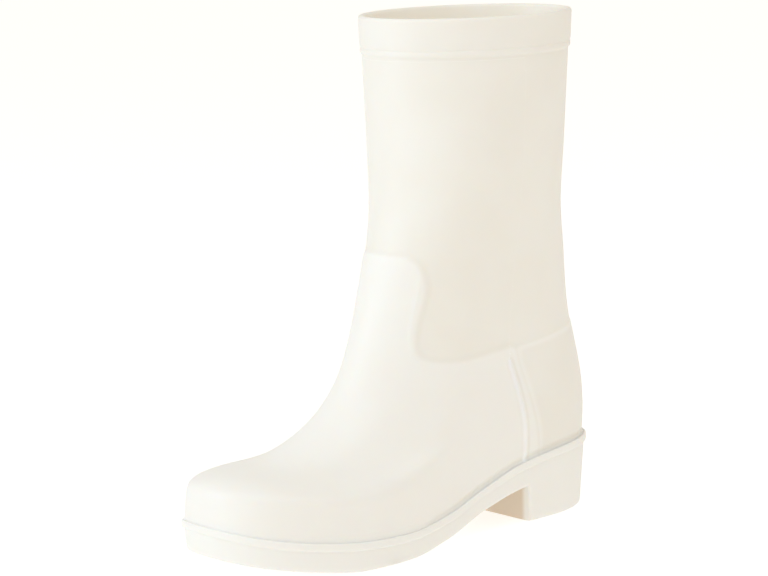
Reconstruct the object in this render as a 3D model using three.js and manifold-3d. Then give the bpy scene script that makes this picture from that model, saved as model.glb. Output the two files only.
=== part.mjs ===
// A left rubber boot: one moulded hollow upper, an outsole with a block heel, and a loose insole.
// Millimetres. +X points to the toe, +Y to the outer side of the foot, +Z up, and the boot stands on Z = 0.
import * as THREE from "three";
import { mergeVertices } from "three/addons/utils/BufferGeometryUtils.js";
import Module from "manifold-3d";

const wasm = await Module();
wasm.setup();

// Driving dimensions of the sole.
const SOLE_LENGTH = 275; // toe tip to the back of the heel, along the ledge
const SOLE_WIDTH = 103; // across the ball
const HEEL_WIDTH = 75; // across the heel seat
const FOREFOOT_SOLE = 16.4; // floor to ledge under the ball
const HEEL_SEAT = 44; // floor to ledge at the back of the heel
const TOE_SPRING = 11.5; // floor to underside at the toe tip
const LIP_HEIGHT = 4.6; // rounded ledge that runs round the sole
const LIP_PROUD = 0.9; // how far the ledge stands out past the sole's side
const LIP_ROUND = 0.8;
const SIDE_SLOPE = 0.075; // how far the sole's side leans in for each millimetre down
const HEEL_LENGTH = 68; // back of the ledge to the heel's breast
const BREAST_SLANT = 1.5;
const BOTTOM_BEVEL = 1.8;

// Driving dimensions of the tread.
const LAND = 6.6; // width of a lug, along the sole
const GROOVE = 3.2;
const GROOVE_DEPTH = 2.2;
const GROOVE_MARGIN = 5; // plain rubber between a groove's end and the edge of the tread
const FOREFOOT_TREAD_START = 14; // toe tip to the first groove
const FOREFOOT_TREAD_LENGTH = 118;
const HEEL_TREAD_START = 14; // back of the heel to its first groove
const HEEL_TREAD_LENGTH = 46;

// Driving dimensions of the upper.
const ANKLE_HEIGHT = 165; // floor to the top of the foot part, where the shaft starts
const BOOT_HEIGHT = 302;
const SHAFT_DEPTH = 132; // front to back at the collar
const SHAFT_WIDTH = 112;
const WALL = 2.5;
const EDGE_INSET = 2.6; // how far the sole stands out past the upper
const STRIP_HEIGHT = 4; // tucked-in strip right above the sole
const STRIP_TUCK = 0.9;
const COLLAR_BAND = 22;
const COLLAR_PROUD = 1.1;
const RIM_ROUND = 0.9;
const VAMP_PROUD = 1.0;
const COUNTER_PROUD = 0.6;
const RIB_WIDTH = 3;
const RIB_PROUD = 1.9; // above the bare upper, so 0.9 above the vamp

// Driving dimensions of the insole, and the clearances.
const INSOLE_THICKNESS = 3.4;
const INSOLE_CLEARANCE = 0.6; // between the insole's edge and the inside of the upper
const SEAT_GAP = 0.3; // between the outsole and what stands on it

// The last: how the foot part bends to its own side, as shares.
const LAST = {
  toeSwing: 0.115, // toe tip off the centre line, of the sole's width
  skew: 0.28, // how much longer the outer side's toe rounding is than the inner side's
  outerWaist: 0.05,
  innerWaist: 0.2,
  waistAt: 0.6, // share of the length from the toe
  waistSpan: 0.16,
  foreEnds: 0.22, // the fore width holds to here, then runs over into the rear width
  rearStarts: 0.72,
  swingEnds: 0.42,
  shoulderAt: 0.26, // where the vamp's section falls off most from its crest to its shoulders
  shoulderSpan: 0.17,
  shoulderStarts: 0.16,
};

// How finely the form is sampled.
const AROUND = 52;
const OUTER_STEPS = { foot: 3, shaft: 2 }; // rings for each control row
const INNER_STEPS = { foot: 2, shaft: 1 };
const SOLE_STATIONS = 34;

// Heights along the sole, from the toe tip (0) to the heel's back (1), for the ledge and for the underside. The
// toe's part is a share of TOE_SPRING, the heel's part a share of HEEL_SEAT - FOREFOOT_SOLE.
const SOLE_ROWS = table("at ledgeToe ledgeHeel underToe underHeel", [
  [0.0, 1.1, 0.0, 1.0, 0.0],
  [0.06, 0.73, 0.0, 0.66, 0.0],
  [0.14, 0.4, 0.0, 0.33, 0.0],
  [0.26, 0.1, 0.0, 0.0, 0.0],
  [0.38, 0.0, 0.0, 0.0, 0.0],
  [0.5, 0.0, 0.12, 0.0, 0.15],
  [0.62, 0.0, 0.44, 0.0, 0.5],
  [0.74, 0.0, 0.78, 0.0, 0.78],
  [0.87, 0.0, 0.95, 0.0, 0.94],
  [1.0, 0.0, 1.0, 0.0, 1.0],
]);

// Control rings of the foot part, from just above the sole to the ankle. frontX and backX are shares of
// SOLE_LENGTH, frontUp and backUp shares of the height from ledge to ankle, fore a share of SOLE_WIDTH and rear
// of HEEL_WIDTH, both half widths. last says how much of the last's left-right form is left, sag how much of the
// ledge's sweep, and dome how far the vamp's shoulders drop under its crest, as a share of ANKLE_HEIGHT.
const FOOT_COLUMNS = "frontX frontUp backX backUp fore rear last sag frontRound backRound frontPower backPower dome";
const FOOT_ROWS = table(FOOT_COLUMNS, [
  [0.488, 0.07, -0.49, 0.07, 0.477, 0.474, 1.0, 0.96, 0.3, 0.2, 2.5, 2.3, 0.0],
  [0.485, 0.121, -0.492, 0.13, 0.479, 0.483, 1.0, 0.88, 0.315, 0.21, 2.5, 2.3, 0.004],
  [0.479, 0.172, -0.494, 0.195, 0.475, 0.488, 1.0, 0.76, 0.285, 0.22, 2.4, 2.25, 0.016],
  [0.42, 0.222, -0.492, 0.29, 0.432, 0.488, 0.95, 0.62, 0.38, 0.23, 2.2, 2.2, 0.038],
  [0.325, 0.238, -0.484, 0.39, 0.387, 0.488, 0.85, 0.46, 0.46, 0.25, 2.05, 2.15, 0.042],
  [0.215, 0.34, -0.471, 0.51, 0.369, 0.488, 0.7, 0.32, 0.465, 0.28, 2.0, 2.1, 0.03],
  [0.128, 0.492, -0.458, 0.63, 0.358, 0.495, 0.5, 0.2, 0.49, 0.32, 2.0, 2.05, 0.012],
  [0.083, 0.73, -0.45, 0.78, 0.38, 0.53, 0.3, 0.1, 0.47, 0.39, 2.0, 2.0, 0.004],
  [0.052, 0.96, -0.446, 0.973, 0.415, 0.57, 0.12, 0.03, 0.48, 0.46, 2.0, 2.0, 0.0],
]);

// Control rings of the shaft: up is a share of the height from ankle to collar, centreX of SOLE_LENGTH,
// depth of SHAFT_DEPTH and width of SHAFT_WIDTH.
const SHAFT_ROWS = table("up centreX depth width", [
  [0.16, -0.2, 0.925, 0.87],
  [0.38, -0.205, 0.93, 0.935],
  [0.62, -0.208, 0.945, 0.965],
  [0.84, -0.211, 0.97, 0.985],
  [1.0, -0.213, 0.985, 1.0],
]);

// Edge of the vamp seen from the side, down from the top of its tongue. x is a share of SOLE_LENGTH and up a
// share of ANKLE_HEIGHT.
const VAMP_EDGE = table("x up", [
  [0.045, 1.018],
  [0.016, 1.0],
  [0.004, 0.96],
  [0.0, 0.9],
  [0.007, 0.845],
  [0.018, 0.78],
  [0.025, 0.71],
  [0.021, 0.672],
  [0.006, 0.654],
  [-0.025, 0.644],
  [-0.065, 0.64],
  [-0.11, 0.648],
  [-0.16, 0.657],
  [-0.207, 0.657],
  [-0.226, 0.585],
  [-0.244, 0.51],
  [-0.257, 0.452],
  [-0.27, 0.376],
  [-0.279, 0.303],
  [-0.284, 0.2],
]);

// Top edge of the heel counter and middle line of the rib, in the same shares.
const COUNTER_EDGE = table("x up", [
  [-0.15, 0.657],
  [-0.215, 0.656],
  [-0.29, 0.668],
  [-0.36, 0.683],
  [-0.52, 0.7],
]);
const RIB_LINE = table("x up", [
  [-0.194, 0.6],
  [-0.208, 0.545],
  [-0.22, 0.49],
  [-0.2345, 0.391],
  [-0.239, 0.291],
  [-0.24, 0.2],
]);

// Rows of numbers under column names become objects.
function table(columns, rows) {
  const names = columns.split(" ");
  return rows.map((row) => Object.fromEntries(names.map((name, i) => [name, row[i]])));
}

const clamp = (value, low, high) => Math.min(high, Math.max(low, value));
const mix = (from, to, share) => from + (to - from) * share;
const ease = (share) => clamp(share, 0, 1) ** 2 * (3 - 2 * clamp(share, 0, 1));
const bump = (share, at, span) => Math.exp(-(((share - at) / span) ** 2));

// A column of a table at a place along it: a cubic through the rows that never overshoots them.
function follow(rows, column, at) {
  const slopes = rows.slice(1).map((row, i) => (row[column] - rows[i][column]) / (row.at - rows[i].at));
  const tangent = (i) => {
    if (i === 0) return slopes[0];
    if (i === rows.length - 1) return slopes[i - 1];
    const before = slopes[i - 1];
    const after = slopes[i];
    return before * after > 0 ? (2 * before * after) / (before + after) : 0;
  };
  const i = clamp(rows.findLastIndex((row) => row.at <= at), 0, rows.length - 2);
  const span = rows[i + 1].at - rows[i].at;
  const t = clamp((at - rows[i].at) / span, 0, 1);
  const start = rows[i][column] * (1 + 2 * t) * (1 - t) ** 2 + tangent(i) * span * t * (1 - t) ** 2;
  const end = rows[i + 1][column] * t * t * (3 - 2 * t) + tangent(i + 1) * span * t * t * (t - 1);
  return start + end;
}

// Heights of the ledge and of the underside over the floor, at a place X along the boot.
const alongSole = (x) => clamp(0.5 - x / SOLE_LENGTH, 0, 1);
const heelLift = HEEL_SEAT - FOREFOOT_SOLE;

function ledgeAt(x) {
  const toe = follow(SOLE_ROWS, "ledgeToe", alongSole(x)) * TOE_SPRING;
  const heel = follow(SOLE_ROWS, "ledgeHeel", alongSole(x)) * heelLift;
  return FOREFOOT_SOLE + toe + heel;
}

function undersideAt(x) {
  const toe = follow(SOLE_ROWS, "underToe", alongSole(x)) * TOE_SPRING;
  const heel = follow(SOLE_ROWS, "underHeel", alongSole(x)) * heelLift;
  return toe + heel;
}

// The sole's outline as a control ring, drawn in by an inset.
function soleRow(inset) {
  const reach = SOLE_LENGTH / 2 - inset;
  return {
    frontX: reach,
    frontZ: ledgeAt(reach),
    backX: -reach,
    backZ: ledgeAt(-reach),
    fore: SOLE_WIDTH / 2 - inset,
    rear: HEEL_WIDTH / 2 - inset,
    last: 1,
    sag: 1,
    frontRound: 0.3,
    backRound: 0.2,
    frontPower: 2.5,
    backPower: 2.3,
    dome: 0,
  };
}

// The control rings of the whole upper in millimetres: the edge over the tucked strip, the foot, then the shaft.
function upperRows() {
  const edge = soleRow(EDGE_INSET);
  edge.frontZ += STRIP_HEIGHT;
  edge.backZ += STRIP_HEIGHT;
  const foot = FOOT_ROWS.map((row) => {
    const frontX = row.frontX * SOLE_LENGTH;
    const backX = row.backX * SOLE_LENGTH;
    return {
      ...row,
      frontX,
      backX,
      frontZ: mix(ledgeAt(frontX), ANKLE_HEIGHT, row.frontUp),
      backZ: mix(ledgeAt(backX), ANKLE_HEIGHT, row.backUp),
      fore: row.fore * SOLE_WIDTH,
      rear: row.rear * HEEL_WIDTH,
      dome: row.dome * ANKLE_HEIGHT,
    };
  });
  const shaft = SHAFT_ROWS.map((row) => {
    const centre = row.centreX * SOLE_LENGTH;
    const reach = (row.depth * SHAFT_DEPTH) / 2;
    const z = mix(ANKLE_HEIGHT, BOOT_HEIGHT, row.up);
    const half = (row.width * SHAFT_WIDTH) / 2;
    return {
      frontX: centre + reach,
      frontZ: z,
      backX: centre - reach,
      backZ: z,
      fore: half,
      rear: half,
      last: 0,
      sag: 0,
      frontRound: 0.5,
      backRound: 0.5,
      frontPower: 2,
      backPower: 2,
      dome: 0,
    };
  });
  return [edge, ...foot, ...shaft];
}

// A ring between the control rings: a uniform cubic B-spline of every value. It reaches the first and last ring.
function blend(rows, place) {
  const last = rows.length - 1;
  const i = clamp(Math.floor(place), 0, last - 1);
  const t = place - i;
  const weights = [(1 - t) ** 3, 3 * t ** 3 - 6 * t ** 2 + 4, -3 * t ** 3 + 3 * t ** 2 + 3 * t + 1, t ** 3];
  const value = (k, name) => {
    if (k < 0) return 2 * rows[0][name] - rows[1][name];
    if (k > last) return 2 * rows[last][name] - rows[last - 1][name];
    return rows[k][name];
  };
  const blended = (name) => weights.reduce((sum, weight, k) => sum + (weight / 6) * value(i - 1 + k, name), 0);
  return Object.fromEntries(Object.keys(rows[last]).map((name) => [name, blended(name)]));
}

// Rounds off an end of a ring: a superellipse quarter from 0 at the very end to 1 where the rounding stops.
const endShape = (share, power) => (1 - (1 - clamp(share, 0, 1)) ** power) ** (1 / power);

// A point of a ring. turn is 0 at the toe and grows over the outer side. Both sides have X and Z in common.
function ringPoint(row, turn) {
  const share = (1 - Math.cos(turn)) / 2;
  const side = Math.sin(turn) >= 0 ? 1 : -1;
  const toeRound = row.frontRound * (1 + LAST.skew * row.last * side);
  const toeEnd = endShape(share / toeRound, row.frontPower);
  const heelEnd = endShape((1 - share) / row.backRound, row.backPower);
  const body = mix(row.fore, row.rear, ease((share - LAST.foreEnds) / (LAST.rearStarts - LAST.foreEnds)));
  const waist = (side > 0 ? LAST.outerWaist : LAST.innerWaist) * row.last;
  const pinch = 1 - waist * bump(share, LAST.waistAt, LAST.waistSpan);
  const swing = -LAST.toeSwing * SOLE_WIDTH * row.last * clamp(1 - share / LAST.swingEnds, 0, 1) ** 2;
  const x = mix(row.frontX, row.backX, share);
  const sweep = ledgeAt(x) - mix(ledgeAt(row.frontX), ledgeAt(row.backX), share);
  const drop = bump(share, LAST.shoulderAt, LAST.shoulderSpan) * ease(share / LAST.shoulderStarts);
  const z = mix(row.frontZ, row.backZ, share) + row.sag * sweep - row.dome * drop;
  return new THREE.Vector3(x, swing + side * body * pinch * toeEnd * heelEnd, z);
}

const turns = Array.from({ length: AROUND }, (_, j) => (2 * Math.PI * j) / AROUND);
const ringOf = (row) => turns.map((turn) => ringPoint(row, turn));

// A ring moved out sideways by a distance, or in by a negative one. Its points keep their height.
function widened(ring, distance) {
  return ring.map((point, j) => {
    const before = ring[(j + AROUND - 1) % AROUND];
    const after = ring[(j + 1) % AROUND];
    const out = new THREE.Vector3(after.y - before.y, before.x - after.x, 0).normalize();
    return point.clone().addScaledVector(out, distance);
  });
}

// The rings of the upper moved out along its surface's normal, or in by a negative distance.
function grown(rings, distance) {
  return rings.map((ring, i) => {
    if (i === 0 || i === rings.length - 1) return widened(ring, distance);
    return ring.map((point, j) => {
      const along = ring[(j + 1) % AROUND].clone().sub(ring[(j + AROUND - 1) % AROUND]);
      const up = rings[i + 1][j].clone().sub(rings[i - 1][j]);
      return point.clone().addScaledVector(along.cross(up).normalize(), distance);
    });
  });
}

const lifted = (ring, height) => ring.map((point) => point.clone().setZ(point.z + height));
const onLedge = (ring, height) => ring.map((point) => point.clone().setZ(ledgeAt(point.x) + height));

// A closed three.js geometry as a solid, and back.
function solidOf(geometry) {
  const bare = geometry.clone();
  bare.deleteAttribute("normal");
  bare.deleteAttribute("uv");
  const merged = mergeVertices(bare, 1e-4);
  const mesh = new wasm.Mesh({
    numProp: 3,
    vertProperties: new Float32Array(merged.attributes.position.array),
    triVerts: new Uint32Array(merged.index.array),
  });
  return new wasm.Manifold(mesh);
}

function geometryOf(solid) {
  const { vertProperties, triVerts } = solid.getMesh();
  const geometry = new THREE.BufferGeometry();
  geometry.setAttribute("position", new THREE.BufferAttribute(new Float32Array(vertProperties), 3));
  geometry.setIndex(new THREE.BufferAttribute(new Uint32Array(triVerts), 1));
  geometry.computeVertexNormals();
  return geometry;
}

// A solid with the rings as its side. Each end is closed by strips straight across the boot.
function stack(rings) {
  const index = [];
  const at = (i, j) => i * AROUND + (j % AROUND);
  for (let i = 0; i < rings.length - 1; i++) {
    for (let j = 0; j < AROUND; j++) {
      index.push(at(i, j), at(i, j + 1), at(i + 1, j + 1), at(i, j), at(i + 1, j + 1), at(i + 1, j));
    }
  }
  const top = rings.length - 1;
  for (let j = 0; j < AROUND / 2; j++) {
    const across = AROUND - j;
    if (j > 0) {
      index.push(at(0, j), at(0, across), at(0, j + 1));
      index.push(at(top, j), at(top, j + 1), at(top, across));
    }
    if (j < AROUND / 2 - 1) {
      index.push(at(0, j + 1), at(0, across), at(0, across - 1));
      index.push(at(top, j + 1), at(top, across - 1), at(top, across));
    }
  }
  const places = rings.flat().flatMap((point) => point.toArray());
  const geometry = new THREE.BufferGeometry();
  geometry.setAttribute("position", new THREE.Float32BufferAttribute(places, 3));
  geometry.setIndex(index);
  return solidOf(geometry);
}

// A solid with an outline drawn in the side view, as wide as anything here.
function sidePrism(outline) {
  const width = 2 * (SOLE_WIDTH + SHAFT_WIDTH);
  const shape = new THREE.Shape(outline.map(([x, z]) => new THREE.Vector2(x, z)));
  const geometry = new THREE.ExtrudeGeometry(shape, { depth: width, bevelEnabled: false });
  return solidOf(geometry.rotateX(Math.PI / 2).translate(0, width / 2, 0));
}

// Side-view points of a table in shares, in millimetres.
const sideLine = (rows) => rows.map((row) => [row.x * SOLE_LENGTH, row.up * ANKLE_HEIGHT]);
const AHEAD = SOLE_LENGTH; // a place well in front of the boot, and behind it when negative
const BELOW = -HEEL_SEAT;

function upper() {
  const rows = upperRows();
  const ringsOf = (steps) => {
    const foot = Array.from({ length: FOOT_ROWS.length * steps.foot }, (_, k) => k / steps.foot);
    const shaft = Array.from({ length: SHAFT_ROWS.length * steps.shaft + 1 }, (_, k) => k / steps.shaft);
    return [...foot, ...shaft.map((place) => FOOT_ROWS.length + place)].map((place) => ringOf(blend(rows, place)));
  };
  const bare = ringsOf(OUTER_STEPS);
  const form = (distance) => {
    const rings = grown(bare, distance);
    return stack([lifted(rings[0], -2 * STRIP_HEIGHT), ...rings]);
  };

  const vampLine = sideLine(VAMP_EDGE);
  const vampTop = vampLine[0][1];
  const vampFoot = vampLine.at(-1)[0];
  const vampRegion = sidePrism([[AHEAD, BELOW], [AHEAD, vampTop], ...vampLine, [vampFoot, BELOW]]);
  const counterLine = sideLine(COUNTER_EDGE);
  const counterFront = counterLine[0][0];
  const counterTop = counterLine.at(-1)[1];
  const counterRegion = sidePrism([...counterLine, [-AHEAD, counterTop], [-AHEAD, BELOW], [counterFront, BELOW]]);
  const ribLine = sideLine(RIB_LINE);
  const ribSide = (offset) => ribLine.map(([x, z]) => [x + offset, z]);
  const ribRegion = sidePrism([...ribSide(RIB_WIDTH / 2), ...ribSide(-RIB_WIDTH / 2).reverse()]);

  const overlays = [
    form(COUNTER_PROUD).intersect(counterRegion),
    form(VAMP_PROUD).intersect(vampRegion),
    form(RIB_PROUD).intersect(ribRegion),
    collarBand(rows),
  ];
  const outside = overlays.reduce((sum, overlay) => sum.add(overlay), form(0));

  // What lies under the edge goes, and the tucked strip takes its place down to the sole.
  const edge = bare[0];
  const around = widened(edge, 4 * LIP_HEIGHT);
  const underEdge = stack([around.map((point) => point.clone().setZ(BELOW)), onLedge(around, STRIP_HEIGHT)]);
  const tucked = widened(edge, -STRIP_TUCK);
  const strip = stack([onLedge(tucked, SEAT_GAP), onLedge(tucked, 2 * STRIP_HEIGHT)]);

  const inside = grown(ringsOf(INNER_STEPS), -WALL);
  const hollow = stack([onLedge(inside[0], -STRIP_HEIGHT), ...inside, lifted(inside.at(-1), STRIP_HEIGHT)]);
  return outside.subtract(underEdge).add(strip).subtract(hollow);
}

// The thicker band round the collar, with its rim rounded off.
function collarBand(rows) {
  const ringAt = (z) => {
    let low = 0;
    let high = rows.length - 1;
    for (let k = 0; k < 40; k++) {
      const middle = (low + high) / 2;
      if (blend(rows, middle).frontZ < z) low = middle;
      else high = middle;
    }
    return ringOf(blend(rows, high));
  };
  return stack([
    widened(ringAt(BOOT_HEIGHT - COLLAR_BAND), COLLAR_PROUD),
    widened(ringAt(BOOT_HEIGHT - COLLAR_BAND / 2), COLLAR_PROUD),
    widened(ringAt(BOOT_HEIGHT - RIM_ROUND), COLLAR_PROUD),
    widened(ringAt(BOOT_HEIGHT), COLLAR_PROUD - RIM_ROUND),
  ]);
}

// A ring on the sole's side, at a depth under the ledge that may differ from point to point.
function soleRing(depthAt, insetAt) {
  return turns.map((turn) => {
    const rim = ringPoint(soleRow(0), turn);
    const depth = depthAt(rim);
    return ringPoint(soleRow(insetAt(depth)), turn).setZ(rim.z - depth);
  });
}

function outsole() {
  const lipBottom = LIP_HEIGHT - LIP_ROUND;
  const sideInset = (depth) => LIP_PROUD + SIDE_SLOPE * depth;
  const onSide = (share) => soleRing((rim) => mix(LIP_HEIGHT, rim.z - BOTTOM_BEVEL, share), sideInset);
  const block = stack([
    soleRing((rim) => rim.z, (depth) => sideInset(depth) + BOTTOM_BEVEL),
    onSide(1),
    onSide(0.5),
    onSide(0),
    soleRing(() => lipBottom, () => 0),
    soleRing(() => LIP_ROUND, () => 0),
    soleRing(() => 0, () => LIP_ROUND),
  ]);

  // The open space under the arch and the toe, back to the breast of the heel.
  const breast = HEEL_LENGTH - SOLE_LENGTH / 2;
  const front = SOLE_LENGTH / 2 + LIP_HEIGHT;
  const stations = Array.from({ length: SOLE_STATIONS + 1 }, (_, k) => mix(front, breast, k / SOLE_STATIONS));
  const underside = stations.map((x) => [x, undersideAt(x)]);
  const breastFoot = breast - BREAST_SLANT;
  const space = sidePrism([...underside, [breastFoot, 0], [breastFoot, BELOW], [front, BELOW]]);

  const grooves = [
    ...grooveBars(SOLE_LENGTH / 2 - FOREFOOT_TREAD_START, -1, FOREFOOT_TREAD_LENGTH, undersideAt),
    ...grooveBars(HEEL_TREAD_START - SOLE_LENGTH / 2, 1, HEEL_TREAD_LENGTH, () => 0),
  ];
  // The grooves end inside the sole's side.
  const treadInset = (depth) => sideInset(depth) + GROOVE_MARGIN;
  const tread = stack([
    soleRing((rim) => rim.z + GROOVE_DEPTH, treadInset),
    soleRing(() => LIP_HEIGHT, treadInset),
  ]);
  return grooves.reduce((sole, groove) => sole.subtract(groove.intersect(tread)), block.subtract(space));
}

// Straight grooves across the tread, one LAND apart, as deep as GROOVE_DEPTH over the underside there.
function grooveBars(start, direction, length, floorAt) {
  const pitch = LAND + GROOVE;
  const count = Math.floor((length + LAND) / pitch);
  return Array.from({ length: count }, (_, k) => {
    const near = start + direction * pitch * k;
    const far = near + direction * GROOVE;
    const roof = [near, far].map((x) => [x, floorAt(x) + GROOVE_DEPTH]);
    const outline = [[near, BELOW], ...roof, [far, BELOW]];
    return sidePrism(direction > 0 ? outline.reverse() : outline);
  });
}

function insole() {
  const upperEdge = ringOf(soleRow(EDGE_INSET));
  const outline = (inset) => widened(upperEdge, -WALL - INSOLE_CLEARANCE - inset);
  const top = SEAT_GAP + INSOLE_THICKNESS;
  const soft = INSOLE_THICKNESS / 4;
  return stack([onLedge(outline(0), SEAT_GAP), onLedge(outline(0), top - soft), onLedge(outline(soft), top)]);
}

const pieces = {
  upper: [upper(), { color: 0xefebe0, roughness: 0.42 }],
  outsole: [outsole(), { color: 0xeae4d5, roughness: 0.5 }],
  insole: [insole(), { color: 0xd9cfba, roughness: 0.9 }],
};

const boot = new THREE.Group();
for (const [name, [solid, finish]] of Object.entries(pieces)) {
  const mesh = new THREE.Mesh(geometryOf(solid), new THREE.MeshStandardMaterial({ ...finish, metalness: 0 }));
  mesh.name = name;
  boot.add(mesh);
}

// The origin goes under the middle of the boot's outer size.
const size = new THREE.Box3().setFromObject(boot, true);
boot.position.set(-(size.min.x + size.max.x) / 2, -(size.min.y + size.max.y) / 2, -size.min.z);

export default boot;
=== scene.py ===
# %% [markdown]
# # A left rubber boot
# The boot is moulded in two pieces, a hollow upper and an outsole with a block heel. A loose insole and a knit
# lining are inside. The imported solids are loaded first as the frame, because they fix the size and the place of
# everything. Each piece is then made again as a finer surface, and that surface stands for its solid.

import bmesh
import bpy
import numpy as np
from mathutils import Matrix, Vector


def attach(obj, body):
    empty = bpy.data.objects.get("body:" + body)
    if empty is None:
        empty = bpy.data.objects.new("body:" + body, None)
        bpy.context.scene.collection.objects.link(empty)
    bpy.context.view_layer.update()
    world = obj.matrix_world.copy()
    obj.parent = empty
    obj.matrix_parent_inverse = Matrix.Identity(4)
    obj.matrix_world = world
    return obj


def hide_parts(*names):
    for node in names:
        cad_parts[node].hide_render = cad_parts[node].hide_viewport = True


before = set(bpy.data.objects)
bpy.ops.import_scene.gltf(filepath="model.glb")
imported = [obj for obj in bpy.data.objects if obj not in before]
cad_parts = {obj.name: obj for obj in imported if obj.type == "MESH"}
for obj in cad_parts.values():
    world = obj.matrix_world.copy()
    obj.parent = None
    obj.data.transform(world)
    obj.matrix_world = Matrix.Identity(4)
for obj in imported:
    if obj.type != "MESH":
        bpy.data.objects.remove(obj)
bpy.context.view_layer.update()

# %% [markdown]
# ## The sizes
# A boot is made over a last, and a few lengths of that last say how large it is. All lengths here are in
# millimetres, with X to the toe, Y to the outer side and Z up. They are turned into metres when a mesh is made.

# %% Lengths of the sole and of the upper, in millimetres
SOLE_LENGTH, SOLE_WIDTH, HEEL_WIDTH = 275.0, 103.0, 75.0
FOREFOOT_SOLE, HEEL_SEAT, TOE_SPRING = 16.4, 44.0, 11.5
LIP_PROUD, LIP_ROUND, SIDE_SLOPE = 0.9, 0.8, 0.075
HEEL_LENGTH, BREAST_SLANT, EDGE_ROUND = 68.0, 1.5, 1.8
LAND, GROOVE, GROOVE_DEPTH = 6.6, 3.2, 2.2
FOREFOOT_TREAD_START, FOREFOOT_TREAD_LENGTH, GROOVE_MARGIN = 14.0, 118.0, 5.0
HEEL_TREAD_START, HEEL_TREAD_LENGTH = 14.0, 46.0
ANKLE_HEIGHT, BOOT_HEIGHT, SHAFT_DEPTH, SHAFT_WIDTH = 165.0, 302.0, 132.0, 112.0
WALL, EDGE_INSET, STRIP_HEIGHT, STRIP_TUCK = 2.5, 2.6, 4.0, 0.9
VAMP_PROUD, COUNTER_PROUD, RIB_WIDTH, RIB_PROUD, BEAD_PROUD = 1.0, 0.6, 2.4, 0.9, 0.25
SEAT_GAP, INSOLE_THICKNESS, INSOLE_CLEARANCE = 0.3, 3.4, 0.6
HEEL_LIFT = HEEL_SEAT - FOREFOOT_SOLE
BREAST = HEEL_LENGTH - SOLE_LENGTH / 2

# %% [markdown]
# ## The last as two short tables
# A last has no simple formula, but it changes slowly from the sole to the collar. So it is described by a few
# closed rings, each with a place for its front and its back, its half widths, and how round its ends are. Between
# those rings every value follows a smooth spline, as a batten bends between the frames of a small boat.


# %% Tables of rings, and the curves that run through them
def table(columns, *rows):
    """Columns of numbers by name."""
    return dict(zip(columns.split(), np.array(rows, float).T))


SOLE = table(
    "at ledgeToe ledgeHeel underToe underHeel",
    (0.0, 1.1, 0.0, 1.0, 0.0),
    (0.06, 0.73, 0.0, 0.66, 0.0),
    (0.14, 0.4, 0.0, 0.33, 0.0),
    (0.26, 0.1, 0.0, 0.0, 0.0),
    (0.38, 0.0, 0.0, 0.0, 0.0),
    (0.5, 0.0, 0.12, 0.0, 0.15),
    (0.62, 0.0, 0.44, 0.0, 0.5),
    (0.74, 0.0, 0.78, 0.0, 0.78),
    (0.87, 0.0, 0.95, 0.0, 0.94),
    (1.0, 0.0, 1.0, 0.0, 1.0),
)
FOOT = table(
    "frontX frontUp backX backUp fore rear last sag frontRound backRound frontPower backPower dome",
    (0.488, 0.07, -0.49, 0.07, 0.477, 0.474, 1.0, 0.96, 0.3, 0.2, 2.5, 2.3, 0.0),
    (0.485, 0.121, -0.492, 0.13, 0.479, 0.483, 1.0, 0.88, 0.315, 0.21, 2.5, 2.3, 0.004),
    (0.479, 0.172, -0.494, 0.195, 0.475, 0.488, 1.0, 0.76, 0.285, 0.22, 2.4, 2.25, 0.016),
    (0.42, 0.222, -0.492, 0.29, 0.432, 0.488, 0.95, 0.62, 0.38, 0.23, 2.2, 2.2, 0.038),
    (0.325, 0.238, -0.484, 0.39, 0.387, 0.488, 0.85, 0.46, 0.46, 0.25, 2.05, 2.15, 0.042),
    (0.215, 0.34, -0.471, 0.51, 0.369, 0.488, 0.7, 0.32, 0.465, 0.28, 2.0, 2.1, 0.03),
    (0.128, 0.492, -0.458, 0.63, 0.358, 0.495, 0.5, 0.2, 0.49, 0.32, 2.0, 2.05, 0.012),
    (0.083, 0.73, -0.45, 0.78, 0.38, 0.53, 0.3, 0.1, 0.47, 0.39, 2.0, 2.0, 0.004),
    (0.052, 0.96, -0.446, 0.973, 0.415, 0.57, 0.12, 0.03, 0.48, 0.46, 2.0, 2.0, 0.0),
)
SHAFT = table(
    "up centreX depth width",
    (0.16, -0.2, 0.925, 0.87),
    (0.38, -0.205, 0.93, 0.935),
    (0.62, -0.208, 0.945, 0.965),
    (0.84, -0.211, 0.97, 0.985),
    (1.0, -0.213, 0.985, 1.0),
)


def ease(share):
    """0 below 0, 1 above 1, and between them three times the square less twice the cube."""
    share = np.clip(share, 0, 1)
    return share * share * (3 - 2 * share)


def follow(column, x):
    """Height along the sole: a cubic through the rows of SOLE that is level wherever its rows turn round."""
    at, value = SOLE["at"], SOLE[column]
    slope = np.diff(value) / np.diff(at)
    tangent = np.concatenate([slope[:1], np.zeros(len(slope) - 1), slope[-1:]])
    same = slope[:-1] * slope[1:] > 0
    tangent[1:-1][same] = (2 * slope[:-1] * slope[1:])[same] / (slope[:-1] + slope[1:])[same]
    place = np.clip(0.5 - np.asarray(x) / SOLE_LENGTH, 0, 1)
    i = np.clip(np.searchsorted(at, place, side="right") - 1, 0, len(slope) - 1)
    span = at[i + 1] - at[i]
    t = (place - at[i]) / span
    start = value[i] * (1 + 2 * t) * (1 - t) ** 2 + tangent[i] * span * t * (1 - t) ** 2
    return start + value[i + 1] * t * t * (3 - 2 * t) + tangent[i + 1] * span * t * t * (t - 1)


def ledge(x):
    """Top of the sole over the floor: the forefoot's thickness, plus the toe's and the heel's share of their lift."""
    return FOREFOOT_SOLE + follow("ledgeToe", x) * TOE_SPRING + follow("ledgeHeel", x) * HEEL_LIFT


def underside(x):
    """Underside of the sole over the floor, without the heel block."""
    return follow("underToe", x) * TOE_SPRING + follow("underHeel", x) * HEEL_LIFT


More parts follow.
